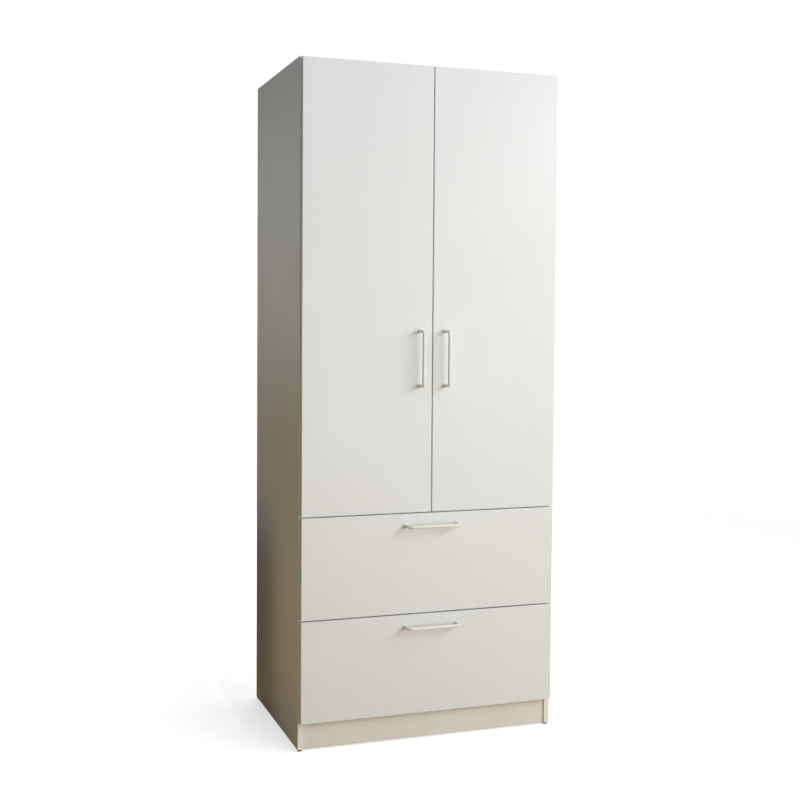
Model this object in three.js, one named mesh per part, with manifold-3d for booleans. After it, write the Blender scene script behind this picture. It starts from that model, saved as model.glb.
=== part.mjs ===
// Two-door wardrobe with two drawers under the doors.
//
// Millimetres, +Z up. The fronts face -Y and +X is to the right of someone facing them.
// The origin is on the floor, under the middle of the box that holds the whole object,
// handles included. Every position below follows from the named sizes that come first.

import * as THREE from 'three';
import { mergeVertices } from 'three/addons/utils/BufferGeometryUtils.js';
import Module from 'manifold-3d';

const wasm = await Module();
wasm.setup();

// ---------------------------------------------------------------- overall sizes
const WIDTH = 800;
const DEPTH = 600;               // back panel to the front of the handles
const HEIGHT = 1990;
const BOARD = 16;                // melamine-faced chipboard of the carcass and the fronts
const GAP = 0.3;                 // assembly gap between pieces that meet

// ---------------------------------------------------------------- fronts
const HANDLE_PROJECTION = 40;    // door face to the outside of the handle
const FRONT_STANDOFF = 3;        // fronts stand this far off the carcass edges
const FRONT_INSET = 4.5;         // side faces to the edges of the fronts
const REVEAL = 4;                // gap between neighbouring fronts, and above the doors
const DRAWER_FRONT_HEIGHT = 295;
const DOOR_EDGE_CHAMFER = 1.2;   // eased back edge next to the hinge pin

// ---------------------------------------------------------------- carcass
const GLIDE_HEIGHT = 5;
const PLINTH_HEIGHT = 80;
const PLINTH_RECESS = 5;
const REAR_PLINTH_RECESS = 60;
const BACK_THICKNESS = 3;        // hardboard nailed to the rear edges
const BACK_INSET = 2;            // side faces to the edges of the back
const HAT_SPACE = 298;           // hat shelf to top panel
const HAT_SHELF_RECESS = 25;

// ---------------------------------------------------------------- hanging rail
const RAIL_RADIUS = 12.5;
const RAIL_WALL = 1.2;
const RAIL_DROP = 62;            // hat shelf to the middle of the rail
const BRACKET_RADIUS = 22;
const BRACKET_PLATE = 3;
const BRACKET_COLLAR_WALL = 2.4;
const BRACKET_COLLAR_LENGTH = 13;
const RAIL_PLAY = 0.5;

// ---------------------------------------------------------------- handles
const HANDLE_RADIUS = 5;
const HANDLE_CENTRES = 160;      // distance between the two legs
const HANDLE_BEND = 12;          // radius of the bar's centre line in the bends
const DOOR_HANDLE_INSET = 38;    // door's free edge to the bar
const DOOR_HANDLE_RISE = 452;    // door's lower edge to the middle of the handle
const DRAWER_HANDLE_DROP = 35;   // drawer front's upper edge to the bar

// ---------------------------------------------------------------- drawers
const BOX_BOARD = 12;
const BOX_HEIGHT = 200;
const BOX_LENGTH = 450;
const BOX_RISE = 35;             // drawer front's lower edge to the box
const BOX_BACK_DROP = 12;        // the back is lower than the sides
const BOX_BOTTOM_THICKNESS = 3;
const GROOVE_RISE = 12;
const GROOVE_DEPTH = 6;
const GROOVE_HEIGHT = 3.6;

// ---------------------------------------------------------------- drawer slides
const SLIDE_SPACE = 13;          // carcass side to drawer side
const SLIDE_RISE = 60;           // box's lower edge to the middle of the slide
const SLIDE_RECESS = 3;
const SLIDE_METAL = 1.2;
// Each member is a channel: how far its web and its flange tips are from the carcass side,
// and half its height.
const CABINET_MEMBER = { web: 0.3, tip: 11.3, half: 22.5 };
const MIDDLE_MEMBER = { web: 3.0, tip: 10.5, half: 19.5 };
const DRAWER_MEMBER = { web: 12.6, tip: 5.5, half: 14 };

// ---------------------------------------------------------------- hinges
// Plan positions are measured from the inner front corner of the carcass side:
// u inwards from the side's inner face, v towards the back from its front edge.
const PIN_U = -3.5;
const PIN_V = -11;
const PIN_RADIUS = 1.25;
const PIN_HALF_LENGTH = 11;
const EYE_RADIUS = 2.2;
const CUP_RADIUS = 17.5;
const CUP_EDGE = 3;              // door's edge to the rim of the cup
const CUP_DEPTH = 11.5;
const CUP_WALL = 0.9;
const CUP_PLAY = 0.35;
const FLANGE_THICKNESS = 0.7;
const FLANGE_HALF_LENGTH = 31;
const FLANGE_HALF_WIDTH = 12;
const FLANGE_OFFSET = 3;         // flange's middle to the cup's axis
const ARM_HALF_WIDTH = 6;
const ARM_LENGTH = 60;
const PLATE_THICKNESS = 3.3;
const PLATE_HALF_LENGTH = 25;
const PLATE_START = 20;
const PLATE_END = 54;
const HINGE_END_DISTANCE = 100;  // door's end to the outer hinges

// ---------------------------------------------------------------- glides
const GLIDE_RADIUS = 7;
const GLIDE_SETBACK = 9;         // side panel's front or rear edge to the glide
const GLIDE_NAIL_RADIUS = 1.2;
const GLIDE_NAIL_LENGTH = 14;
const NAIL_HOLE_RADIUS = 1.6;
const GLIDE_CHAMFER = 1;

// ---------------------------------------------------------------- facets
const HANDLE_SIDES = 12;
const HANDLE_STEPS = 48;
const CUP_FACETS = 28;
const RAIL_FACETS = 24;
const GLIDE_FACETS = 18;
const PIN_FACETS = 12;
const EYE_STEPS = 8;

// ---------------------------------------------------------------- derived levels
const HALF_WIDTH = WIDTH / 2;
const INNER_HALF = HALF_WIDTH - BOARD;
const BACK_FACE = DEPTH / 2;
const FRONT_FACE = -DEPTH / 2 + HANDLE_PROJECTION;
const FRONT_REAR = FRONT_FACE + BOARD;
const CARCASS_FRONT = FRONT_REAR + FRONT_STANDOFF;
const CARCASS_REAR = BACK_FACE - BACK_THICKNESS - GAP;
const SIDE_BOTTOM = GLIDE_HEIGHT;
const PLINTH_TOP = SIDE_BOTTOM + PLINTH_HEIGHT;
const FRONT_HALF_WIDTH = HALF_WIDTH - FRONT_INSET;
const LOWER_FRONT_BOTTOM = PLINTH_TOP;
const UPPER_FRONT_BOTTOM = LOWER_FRONT_BOTTOM + DRAWER_FRONT_HEIGHT + REVEAL;
const DOOR_BOTTOM = UPPER_FRONT_BOTTOM + DRAWER_FRONT_HEIGHT + REVEAL;
const DOOR_TOP = HEIGHT - REVEAL;
const DOOR_HEIGHT = DOOR_TOP - DOOR_BOTTOM;
const DOOR_WIDTH = FRONT_HALF_WIDTH - REVEAL / 2;
const DIVIDER_MIDDLE = DOOR_BOTTOM - REVEAL / 2;
const HAT_SHELF_TOP = HEIGHT - BOARD - HAT_SPACE;
const RAIL_LEVEL = HAT_SHELF_TOP - BOARD - RAIL_DROP;
const RAIL_Y = (CARCASS_FRONT + CARCASS_REAR) / 2;

// ---------------------------------------------------------------- materials
function finish(name, color, roughness, metalness = 0) {
  return new THREE.MeshStandardMaterial({ name, color, roughness, metalness });
}

const frontWhite = finish('front_white', 0xeaebe8, 0.42);
const carcassWhite = finish('carcass_white', 0xe6e6e1, 0.4);
const backWhite = finish('back_white', 0xe2e1da, 0.6);
const boxWhite = finish('drawer_box_white', 0xe9e8e3, 0.5);
const handleIvory = finish('handle_ivory', 0xf0ebdf, 0.35);
const zincSteel = finish('zinc_steel', 0xb7babd, 0.35, 1);
const chromeSteel = finish('chrome_steel', 0xc9ccd0, 0.15, 1);
const glideBrown = finish('glide_brown', 0x38261d, 0.5);

// ---------------------------------------------------------------- geometry helpers
function solidOf(geometry) {
  const bare = geometry.clone();
  bare.deleteAttribute('normal');
  bare.deleteAttribute('uv');
  const merged = mergeVertices(bare, 1e-4);
  const corners = merged.index.array;
  const kept = [];
  for (let i = 0; i < corners.length; i += 3) {
    const [a, b, c] = [corners[i], corners[i + 1], corners[i + 2]];
    if (a !== b && b !== c && c !== a) {
      kept.push(a, b, c);
    }
  }
  const vertProperties = new Float32Array(merged.attributes.position.array);
  const triVerts = new Uint32Array(kept);
  return new wasm.Manifold(new wasm.Mesh({ numProp: 3, vertProperties, triVerts }));
}

function geometryOf(solid) {
  const { vertProperties, triVerts } = solid.getMesh();
  const geometry = new THREE.BufferGeometry();
  geometry.setAttribute('position', new THREE.BufferAttribute(vertProperties, 3));
  geometry.setIndex(new THREE.BufferAttribute(triVerts, 1));
  geometry.computeVertexNormals();
  return geometry;
}

function join(...geometries) {
  return geometryOf(geometries.map(solidOf).reduce((whole, next) => whole.add(next)));
}

function cut(geometry, ...tools) {
  return geometryOf(tools.map(solidOf).reduce((rest, tool) => rest.subtract(tool), solidOf(geometry)));
}

// A block between two corners given as ranges along X, Y and Z.
function block([x0, x1], [y0, y1], [z0, z1]) {
  const geometry = new THREE.BoxGeometry(x1 - x0, y1 - y0, z1 - z0);
  return geometry.translate((x0 + x1) / 2, (y0 + y1) / 2, (z0 + z1) / 2);
}

// A plan outline, given as [x, y] corners, raised from z0 to z1.
function raise(outline, z0, z1, holes = []) {
  const shape = new THREE.Shape(outline.map(([x, y]) => new THREE.Vector2(x, y)));
  shape.holes.push(...holes);
  const geometry = new THREE.ExtrudeGeometry(shape, { depth: z1 - z0, bevelEnabled: false });
  return geometry.translate(0, 0, z0);
}

// A cross-section, given as [x, z] corners, drawn out from y0 back to y1.
function drawAlongY(outline, y0, y1) {
  const shape = new THREE.Shape(outline.map(([x, z]) => new THREE.Vector2(x, z)));
  const geometry = new THREE.ExtrudeGeometry(shape, { depth: y1 - y0, bevelEnabled: false });
  return geometry.rotateX(Math.PI / 2).translate(0, y1, 0);
}

function rod(radius, length, facets) {
  return new THREE.CylinderGeometry(radius, radius, length, facets);
}

function circlePath(radius, facets) {
  const path = new THREE.Path();
  for (let i = 0; i < facets; i += 1) {
    const angle = (2 * Math.PI * i) / facets;
    const point = [radius * Math.cos(angle), radius * Math.sin(angle)];
    if (i === 0) {
      path.moveTo(...point);
    } else {
      path.lineTo(...point);
    }
  }
  path.closePath();
  return path;
}

function piece(name, geometry, material, position = [0, 0, 0]) {
  const mesh = new THREE.Mesh(geometry, material);
  mesh.name = name;
  mesh.position.set(...position);
  return mesh;
}

// ---------------------------------------------------------------- carcass boards
function glideYs() {
  return { front: CARCASS_FRONT + GLIDE_SETBACK, rear: CARCASS_REAR - GLIDE_SETBACK };
}

// An upright board with a blind hole under each end for the nail of a glide.
function sidePanel(name, side) {
  const middle = side * (HALF_WIDTH - BOARD / 2);
  const board = block(
    [-BOARD / 2, BOARD / 2],
    [CARCASS_FRONT, CARCASS_REAR],
    [SIDE_BOTTOM, HEIGHT],
  );
  const holes = Object.values(glideYs()).map((y) => {
    const hole = rod(NAIL_HOLE_RADIUS, 2 * (GLIDE_NAIL_LENGTH + 1), PIN_FACETS);
    return hole.rotateX(Math.PI / 2).translate(0, y, SIDE_BOTTOM);
  });
  return piece(name, cut(board, ...holes), carcassWhite, [middle, 0, 0]);
}

// A board that lies between the two side panels.
function crossBoard(name, material, [y0, y1], [z0, z1]) {
  const half = INNER_HALF - GAP;
  const geometry = block([-half, half], [y0, y1], [z0, z1]);
  return piece(name, geometry, material);
}

function carcassBoards() {
  const fullDepth = [CARCASS_FRONT, CARCASS_REAR];
  const floorBottom = PLINTH_TOP + GAP;
  const plinthFront = CARCASS_FRONT + PLINTH_RECESS;
  const plinthRear = CARCASS_REAR - REAR_PLINTH_RECESS;
  const plinthHeights = [SIDE_BOTTOM, PLINTH_TOP];
  const shelfHeights = [HAT_SHELF_TOP - BOARD, HAT_SHELF_TOP];
  const dividerHeights = [DIVIDER_MIDDLE - BOARD / 2, DIVIDER_MIDDLE + BOARD / 2];
  const shelfDepth = [CARCASS_FRONT + HAT_SHELF_RECESS, CARCASS_REAR];
  return [
    sidePanel('side_panel_left', -1),
    sidePanel('side_panel_right', 1),
    crossBoard('top_panel', carcassWhite, fullDepth, [HEIGHT - BOARD, HEIGHT]),
    crossBoard('hat_shelf', carcassWhite, shelfDepth, shelfHeights),
    crossBoard('divider_panel', carcassWhite, fullDepth, dividerHeights),
    crossBoard('bottom_panel', carcassWhite, fullDepth, [floorBottom, floorBottom + BOARD]),
    crossBoard('plinth_front', carcassWhite, [plinthFront, plinthFront + BOARD], plinthHeights),
    crossBoard('plinth_rear', carcassWhite, [plinthRear - BOARD, plinthRear], plinthHeights),
  ];
}

// Two hardboard sheets that meet behind the divider.
function backPanels() {
  const half = HALF_WIDTH - BACK_INSET;
  const thickness = [BACK_FACE - BACK_THICKNESS, BACK_FACE];
  const joint = DIVIDER_MIDDLE;
  const upper = block([-half, half], thickness, [joint + GAP, HEIGHT - BACK_INSET]);
  const lower = block([-half, half], thickness, [PLINTH_TOP, joint - GAP]);
  return [
    piece('back_panel_upper', upper, backWhite),
    piece('back_panel_lower', lower, backWhite),
  ];
}

// ---------------------------------------------------------------- hanging rail
function railAcross() {
  const bore = circlePath(RAIL_RADIUS - RAIL_WALL, RAIL_FACETS);
  const half = INNER_HALF - BRACKET_PLATE - 2 * GAP;
  const outline = [];
  for (let i = 0; i < RAIL_FACETS; i += 1) {
    const angle = (2 * Math.PI * i) / RAIL_FACETS;
    outline.push([RAIL_RADIUS * Math.cos(angle), RAIL_RADIUS * Math.sin(angle)]);
  }
  const tube = raise(outline, -half, half, [bore]).rotateY(Math.PI / 2);
  return piece('hanging_rail', tube, chromeSteel, [0, RAIL_Y, RAIL_LEVEL]);
}

// A round plate with a collar that the rail's end sits in.
function railBracket(name, side) {
  const collarInside = RAIL_RADIUS + RAIL_PLAY;
  const collarOutside = collarInside + BRACKET_COLLAR_WALL;
  const profile = [
    [0, 0],
    [BRACKET_RADIUS, 0],
    [BRACKET_RADIUS, BRACKET_PLATE - 1],
    [BRACKET_RADIUS - 1, BRACKET_PLATE],
    [collarOutside, BRACKET_PLATE],
    [collarOutside, BRACKET_COLLAR_LENGTH],
    [collarInside, BRACKET_COLLAR_LENGTH],
    [collarInside, BRACKET_PLATE],
    [0, BRACKET_PLATE],
  ].map(([radius, along]) => new THREE.Vector2(radius, along));
  const bracket = new THREE.LatheGeometry(profile, RAIL_FACETS).rotateZ((side * Math.PI) / 2);
  return piece(name, bracket, chromeSteel, [side * (INNER_HALF - GAP), RAIL_Y, RAIL_LEVEL]);
}

// ---------------------------------------------------------------- glides
function glide(name, side, y) {
  const top = GLIDE_HEIGHT - GAP;
  const profile = [
    [0, 0],
    [GLIDE_RADIUS - GLIDE_CHAMFER, 0],
    [GLIDE_RADIUS, GLIDE_CHAMFER],
    [GLIDE_RADIUS, top],
    [GLIDE_NAIL_RADIUS, top],
    [GLIDE_NAIL_RADIUS, top + GLIDE_NAIL_LENGTH - 1],
    [0, top + GLIDE_NAIL_LENGTH],
  ].map(([radius, height]) => new THREE.Vector2(radius, height));
  const geometry = new THREE.LatheGeometry(profile, GLIDE_FACETS).rotateX(Math.PI / 2);
  return piece(name, geometry, glideBrown, [side * (HALF_WIDTH - BOARD / 2), y, 0]);
}

function glides() {
  const rows = Object.entries(glideYs());
  return rows.flatMap(([end, y]) => [
    glide(`glide_${end}_left`, -1, y),
    glide(`glide_${end}_right`, 1, y),
  ]);
}

// ---------------------------------------------------------------- handles
// A round bar bent into a bow. Its legs start on the front, at y = 0, and the bar between
// them runs in the direction of `along` and stands out towards -Y.
function handleGeometry(along) {
  const reach = HANDLE_PROJECTION - HANDLE_RADIUS;
  const half = HANDLE_CENTRES / 2;
  const at = (run, out) => along.clone().multiplyScalar(run).add(new THREE.Vector3(0, -out, 0));
  const path = new THREE.CurvePath();
  path.add(new THREE.LineCurve3(at(-half, GAP), at(-half, reach - HANDLE_BEND)));
  path.add(bend(at, -half, reach, 1));
  path.add(new THREE.LineCurve3(at(-half + HANDLE_BEND, reach), at(half - HANDLE_BEND, reach)));
  path.add(bend(at, half, reach, -1));
  path.add(new THREE.LineCurve3(at(half, reach - HANDLE_BEND), at(half, GAP)));
  const section = new THREE.Shape(circlePath(HANDLE_RADIUS, HANDLE_SIDES).getPoints());
  return new THREE.ExtrudeGeometry(section, { steps: HANDLE_STEPS, extrudePath: path });
}

// A quarter circle between a leg at `run` and the bar, as a cubic curve. `turn` is 1 where
// the path leaves the leg and -1 where it comes back to one.
function bend(at, run, reach, turn) {
  const circleArm = HANDLE_BEND * (4 / 3) * Math.tan(Math.PI / 8);
  const onLeg = at(run, reach - HANDLE_BEND);
  const onLegArm = at(run, reach - HANDLE_BEND + circleArm);
  const onBar = at(run + turn * HANDLE_BEND, reach);
  const onBarArm = at(run + turn * (HANDLE_BEND - circleArm), reach);
  const points = [onLeg, onLegArm, onBarArm, onBar];
  return new THREE.CubicBezierCurve3(...(turn > 0 ? points : points.reverse()));
}

// ---------------------------------------------------------------- hinges
// Turns a plan position (u, v) at the corner of one side of the carcass into X and Y.
function atCorner(side, u, v) {
  return [side * (INNER_HALF - u), CARCASS_FRONT + v];
}

function hingeLevels() {
  return {
    bottom: DOOR_BOTTOM + HINGE_END_DISTANCE,
    middle: (DOOR_BOTTOM + DOOR_TOP) / 2,
    top: DOOR_TOP - HINGE_END_DISTANCE,
  };
}

// The arm that carries the pin: a hook that reaches from the plate on the carcass side
// out round the side's front edge and into the cup.
function hingeArm(name, side, level) {
  const hookInside = 7.2;
  const hookOutside = 10.4;
  const hookRoot = PIN_V - 1.8;
  const hookTop = PIN_V + 0.6;
  const armOutside = 12.5;
  const plan = [
    [PLATE_THICKNESS, ARM_LENGTH],
    [PLATE_THICKNESS, 12],
    [hookInside, 8],
    [hookInside, hookTop],
  ];
  for (let i = 0; i <= EYE_STEPS; i += 1) {
    const angle = Math.PI / 2 + (Math.PI * i) / EYE_STEPS;
    plan.push([PIN_U + EYE_RADIUS * Math.cos(angle), PIN_V + EYE_RADIUS * Math.sin(angle)]);
  }
  plan.push(
    [hookOutside - 1.5, hookRoot],
    [hookOutside, hookRoot + 1.5],
    [hookOutside, 6],
    [armOutside, 12],
    [armOutside, ARM_LENGTH - 2],
    [armOutside - 2, ARM_LENGTH],
  );
  const arm = raise(plan.map(([u, v]) => atCorner(side, u, v)), -ARM_HALF_WIDTH, ARM_HALF_WIDTH);
  const plate = raise(
    [
      [GAP, PLATE_START],
      [PLATE_THICKNESS + GAP, PLATE_START],
      [PLATE_THICKNESS + GAP, PLATE_END],
      [GAP, PLATE_END],
    ].map(([u, v]) => atCorner(side, u, v)),
    -PLATE_HALF_LENGTH,
    PLATE_HALF_LENGTH,
  );
  const pin = rod(PIN_RADIUS, 2 * PIN_HALF_LENGTH, PIN_FACETS)
    .rotateX(Math.PI / 2)
    .translate(...atCorner(side, PIN_U, PIN_V), 0);
  return piece(name, join(arm, plate, pin), zincSteel, [0, 0, level]);
}

function cupCentre(side) {
  return [side * (FRONT_HALF_WIDTH - CUP_EDGE - CUP_RADIUS), FRONT_REAR];
}

// A round steel cup sunk into the back of the door, with a flange for its screws. The pin
// runs through its wall.
function hingeCup(name, side, level) {
  const rim = GAP + FLANGE_THICKNESS;
  const outside = rod(CUP_RADIUS, CUP_DEPTH + rim, CUP_FACETS);
  outside.translate(0, (rim - CUP_DEPTH) / 2, 0);
  const corner = 6;
  const [across, up] = [FLANGE_HALF_WIDTH, FLANGE_HALF_LENGTH];
  const outline = [
    [across, corner - up],
    [across, up - corner],
    [across - corner, up],
    [corner - across, up],
    [-across, up - corner],
    [-across, corner - up],
    [corner - across, -up],
    [across - corner, -up],
  ].map(([x, z]) => [x - side * FLANGE_OFFSET, z]);
  const flange = drawAlongY(outline, GAP, rim);
  const hollow = rod(CUP_RADIUS - CUP_WALL, CUP_DEPTH + rim, CUP_FACETS);
  hollow.translate(0, (rim - CUP_DEPTH) / 2 + CUP_WALL, 0);
  const [pinX, pinY] = atCorner(side, PIN_U, PIN_V);
  const [centreX, centreY] = cupCentre(side);
  const pinHole = rod(PIN_RADIUS + CUP_PLAY, 2 * CUP_RADIUS, PIN_FACETS)
    .rotateX(Math.PI / 2)
    .translate(pinX - centreX, pinY - centreY, 0);
  const cup = cut(join(outside, flange), hollow, pinHole);
  return piece(name, cup, zincSteel, [centreX, centreY, level]);
}

// ---------------------------------------------------------------- doors
function doorPanel(name, side) {
  const outer = side * FRONT_HALF_WIDTH;
  const free = outer - side * DOOR_WIDTH;
  const eased = outer - side * DOOR_EDGE_CHAMFER;
  const outline = [
    [outer, FRONT_FACE],
    [free, FRONT_FACE],
    [free, FRONT_REAR],
    [eased, FRONT_REAR],
    [outer, FRONT_REAR - DOOR_EDGE_CHAMFER],
  ];
  const board = raise(outline, DOOR_BOTTOM, DOOR_TOP);
  const boreDepth = CUP_DEPTH + CUP_PLAY;
  const bores = Object.values(hingeLevels()).map((level) => {
    const bore = rod(CUP_RADIUS + CUP_PLAY, 2 * boreDepth, CUP_FACETS);
    return bore.translate(...cupCentre(side), level);
  });
  return piece(name, cut(board, ...bores), frontWhite);
}

function door(word, side) {
  const group = new THREE.Group();
  const barX = side * (REVEAL / 2 + DOOR_HANDLE_INSET);
  const barLevel = DOOR_BOTTOM + DOOR_HANDLE_RISE;
  const upright = handleGeometry(new THREE.Vector3(0, 0, 1));
  group.add(doorPanel(`door_${word}`, side));
  group.add(piece(`door_${word}_handle`, upright, handleIvory, [barX, FRONT_FACE, barLevel]));
  for (const [place, level] of Object.entries(hingeLevels())) {
    group.add(hingeCup(`door_${word}_hinge_cup_${place}`, side, level));
  }
  return group;
}

function hingeArms() {
  return Object.entries(hingeLevels()).flatMap(([place, level]) => [
    hingeArm(`hinge_arm_left_${place}`, -1, level),
    hingeArm(`hinge_arm_right_${place}`, 1, level),
  ]);
}

// ---------------------------------------------------------------- drawer slides
// A C-shaped channel on one side of the carcass. Its web is at `web` and its flanges run
// to `tip`, both measured inwards from the carcass side.
function slideMember(name, side, level, { web, tip, half }) {
  const towardsTip = Math.sign(tip - web);
  const webInside = web + towardsTip * SLIDE_METAL;
  const section = [
    [web, -half],
    [tip, -half],
    [tip, SLIDE_METAL - half],
    [webInside, SLIDE_METAL - half],
    [webInside, half - SLIDE_METAL],
    [tip, half - SLIDE_METAL],
    [tip, half],
    [web, half],
  ].map(([u, z]) => [side * (INNER_HALF - u), z]);
  const front = CARCASS_FRONT + SLIDE_RECESS;
  const channel = drawAlongY(section, front, front + BOX_LENGTH);
  return piece(name, channel, zincSteel, [0, 0, level]);
}

function slidePair(name, level, member) {
  return [
    slideMember(`${name}_left`, -1, level, member),
    slideMember(`${name}_right`, 1, level, member),
  ];
}

// ---------------------------------------------------------------- drawers
function drawer(word, frontBottom) {
  const group = new THREE.Group();
  const prefix = `drawer_${word}`;
  const boxBottom = frontBottom + BOX_RISE;
  const sideOutside = INNER_HALF - SLIDE_SPACE;
  const sideInside = sideOutside - BOX_BOARD;
  const boxFront = FRONT_REAR + GAP;
  const boxRear = boxFront + BOX_LENGTH;
  const grooveBottom = boxBottom + GROOVE_RISE;
  const grooveTop = grooveBottom + GROOVE_HEIGHT;
  const sheetBottom = grooveBottom + GAP;
  const sheetTop = sheetBottom + BOX_BOTTOM_THICKNESS;
  const sheetHalf = sideInside + GROOVE_DEPTH - GAP;

  const front = block(
    [-FRONT_HALF_WIDTH, FRONT_HALF_WIDTH],
    [FRONT_FACE, FRONT_REAR],
    [frontBottom, frontBottom + DRAWER_FRONT_HEIGHT],
  );
  const frontGroove = block(
    [-sheetHalf - GAP, sheetHalf + GAP],
    [FRONT_REAR - GROOVE_DEPTH, FRONT_REAR + GROOVE_DEPTH],
    [grooveBottom, grooveTop],
  );
  group.add(piece(`${prefix}_front`, cut(front, frontGroove), frontWhite));

  for (const [hand, side] of [['left', -1], ['right', 1]]) {
    const section = [
      [sideOutside, boxBottom],
      [sideOutside, boxBottom + BOX_HEIGHT],
      [sideInside, boxBottom + BOX_HEIGHT],
      [sideInside, grooveTop],
      [sideInside + GROOVE_DEPTH, grooveTop],
      [sideInside + GROOVE_DEPTH, grooveBottom],
      [sideInside, grooveBottom],
      [sideInside, boxBottom],
    ].map(([x, z]) => [side * x, z]);
    group.add(piece(`${prefix}_side_${hand}`, drawAlongY(section, boxFront, boxRear), boxWhite));
  }

  const backHalf = sideInside - GAP;
  const back = block(
    [-backHalf, backHalf],
    [boxRear - BOX_BOARD, boxRear],
    [sheetTop + GAP, boxBottom + BOX_HEIGHT - BOX_BACK_DROP],
  );
  group.add(piece(`${prefix}_back`, back, boxWhite));

  const sheet = block(
    [-sheetHalf, sheetHalf],
    [FRONT_REAR - GROOVE_DEPTH + GAP, boxRear],
    [sheetBottom, sheetTop],
  );
  group.add(piece(`${prefix}_bottom`, sheet, boxWhite));

  const level = frontBottom + DRAWER_FRONT_HEIGHT - DRAWER_HANDLE_DROP;
  const across = handleGeometry(new THREE.Vector3(1, 0, 0));
  group.add(piece(`${prefix}_handle`, across, handleIvory, [0, FRONT_FACE, level]));
  group.add(...slidePair(`${prefix}_slide`, boxBottom + SLIDE_RISE, DRAWER_MEMBER));
  return group;
}

// ---------------------------------------------------------------- assembly
const wardrobe = new THREE.Group();

const carcass = new THREE.Group();
carcass.add(...carcassBoards());
carcass.add(...backPanels());
carcass.add(railAcross());
carcass.add(railBracket('rail_bracket_left', -1), railBracket('rail_bracket_right', 1));
carcass.add(...glides());
carcass.add(...hingeArms());
wardrobe.add(carcass);

wardrobe.add(door('left', -1), door('right', 1));

for (const [word, bottom] of [['upper', UPPER_FRONT_BOTTOM], ['lower', LOWER_FRONT_BOTTOM]]) {
  const slideLevel = bottom + BOX_RISE + SLIDE_RISE;
  carcass.add(...slidePair(`cabinet_slide_${word}`, slideLevel, CABINET_MEMBER));
  wardrobe.add(...slidePair(`middle_slide_${word}`, slideLevel, MIDDLE_MEMBER));
  wardrobe.add(drawer(word, bottom));
}

export default wardrobe;
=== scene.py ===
"""Looks of the two-door wardrobe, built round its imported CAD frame.

Metres, +Z up. The fronts face -Y and +X is to the right of someone facing them. Places come
from the boxes of the CAD nodes.
"""

import math

import bmesh
import bpy
from mathutils import Matrix, Vector

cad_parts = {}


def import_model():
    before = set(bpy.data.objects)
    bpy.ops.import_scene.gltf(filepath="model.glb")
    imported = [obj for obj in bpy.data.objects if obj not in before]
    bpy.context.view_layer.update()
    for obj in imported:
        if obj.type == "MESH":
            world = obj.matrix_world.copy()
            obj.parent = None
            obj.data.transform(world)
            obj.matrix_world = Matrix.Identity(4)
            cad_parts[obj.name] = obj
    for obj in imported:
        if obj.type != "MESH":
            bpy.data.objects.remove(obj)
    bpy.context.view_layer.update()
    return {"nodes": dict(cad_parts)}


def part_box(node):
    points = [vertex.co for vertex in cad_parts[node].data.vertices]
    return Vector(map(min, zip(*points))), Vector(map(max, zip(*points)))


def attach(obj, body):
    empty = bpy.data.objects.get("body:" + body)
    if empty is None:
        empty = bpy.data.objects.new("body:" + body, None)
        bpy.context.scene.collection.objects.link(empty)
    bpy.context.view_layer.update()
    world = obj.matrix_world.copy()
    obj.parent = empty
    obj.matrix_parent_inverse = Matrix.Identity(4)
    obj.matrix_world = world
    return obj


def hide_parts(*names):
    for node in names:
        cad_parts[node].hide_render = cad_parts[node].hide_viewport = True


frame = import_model()
NODES = frame["nodes"]
SIDES = {"left": -1, "right": 1}
DRAWERS = ("upper", "lower")
HINGES = ("bottom", "middle", "top")
BACKWARDS = (0, 1, 0)

MM = 0.001

# ---------------------------------------------------------------- edges and smoothness
BOARD_BEVEL = 0.7 * MM
METAL_BEVEL = 0.35 * MM
FLAT_ANGLE = 0.5                 # degrees; flatter edges are dissolved
ROUNDED_ANGLE = 40               # degrees; sharper edges are rounded
CREASE_ANGLE = 35                # degrees; sharper edges of the new pieces stay crisp
WELD_DISTANCE = 0.005 * MM
HANDLE_SIDES = 32
BEND_STEPS = 14
TURNED_SIDES = 64
HEAD_SIDES = 32                  # screw heads, nails and covers
HEAD_RINGS = 10
DOME = 0.85                      # roundness of a screw head
CROSS_WIDTH, CROSS_REACH = 0.2, 0.62   # half sizes of the recess, in head radii
CROSS_SLOPES = (0.1, 0.3)        # widths of its flanks, in head radii
CROSS_DEPTH = 0.7                # in head heights

# ---------------------------------------------------------------- fittings
HANDLE_BEND = 12 * MM            # centre line of the bar in its bends
PLATE_MIDDLE = 23 * MM           # hinge arm's rear end to the middle of its plate
PLATE_SURFACE = 3.6 * MM         # carcass side to the face of the hinge plate
PLATE_SCREWS = 18 * MM           # hinge's middle to the screws of the plate
ARM_SCREWS = (9 * MM, 40 * MM)   # hinge arm's rear end to its two adjusting screws
CUP_SCREWS = 24.5 * MM           # hinge's middle to the screws of the cup
CUP_SCREW_OFFSET = 3 * MM        # cup's axis to its screws
SLIDE_CHANNEL = 11.4 * MM        # carcass side to the inside of the drawer member's web
SLIDE_SCREWS_FRONT = (32 * MM, 160 * MM)
SLIDE_SCREWS_REAR = (130 * MM, 30 * MM)
RAIL_RADIUS = 12.5 * MM
RAIL_WALL = 1.2 * MM
RAIL_PLAY = 0.5 * MM
COLLAR_WALL = 2.4 * MM
BRACKET_PLATE = 3 * MM
BRACKET_SCREWS = 18.7 * MM       # rail's axis to the screws of its bracket
CAM_SETBACK = 34 * MM            # board's end to the middle of a cam
COVER_INSET = 45 * MM            # board's front or rear edge to the middle of a cover
DRAWER_CAM_RISE = 50 * MM        # drawer side's lower edge to the lower cam
DRAWER_CAM_DROP = 40 * MM        # drawer side's upper edge to the upper cam
BUMPER_INSET = 14 * MM           # door's free edge to its bumpers
NAIL_SPACING = 130 * MM
NAIL_INSET = 8 * MM              # carcass side face to its row of nails
GLIDE_HEIGHT = 4.7 * MM
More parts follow.
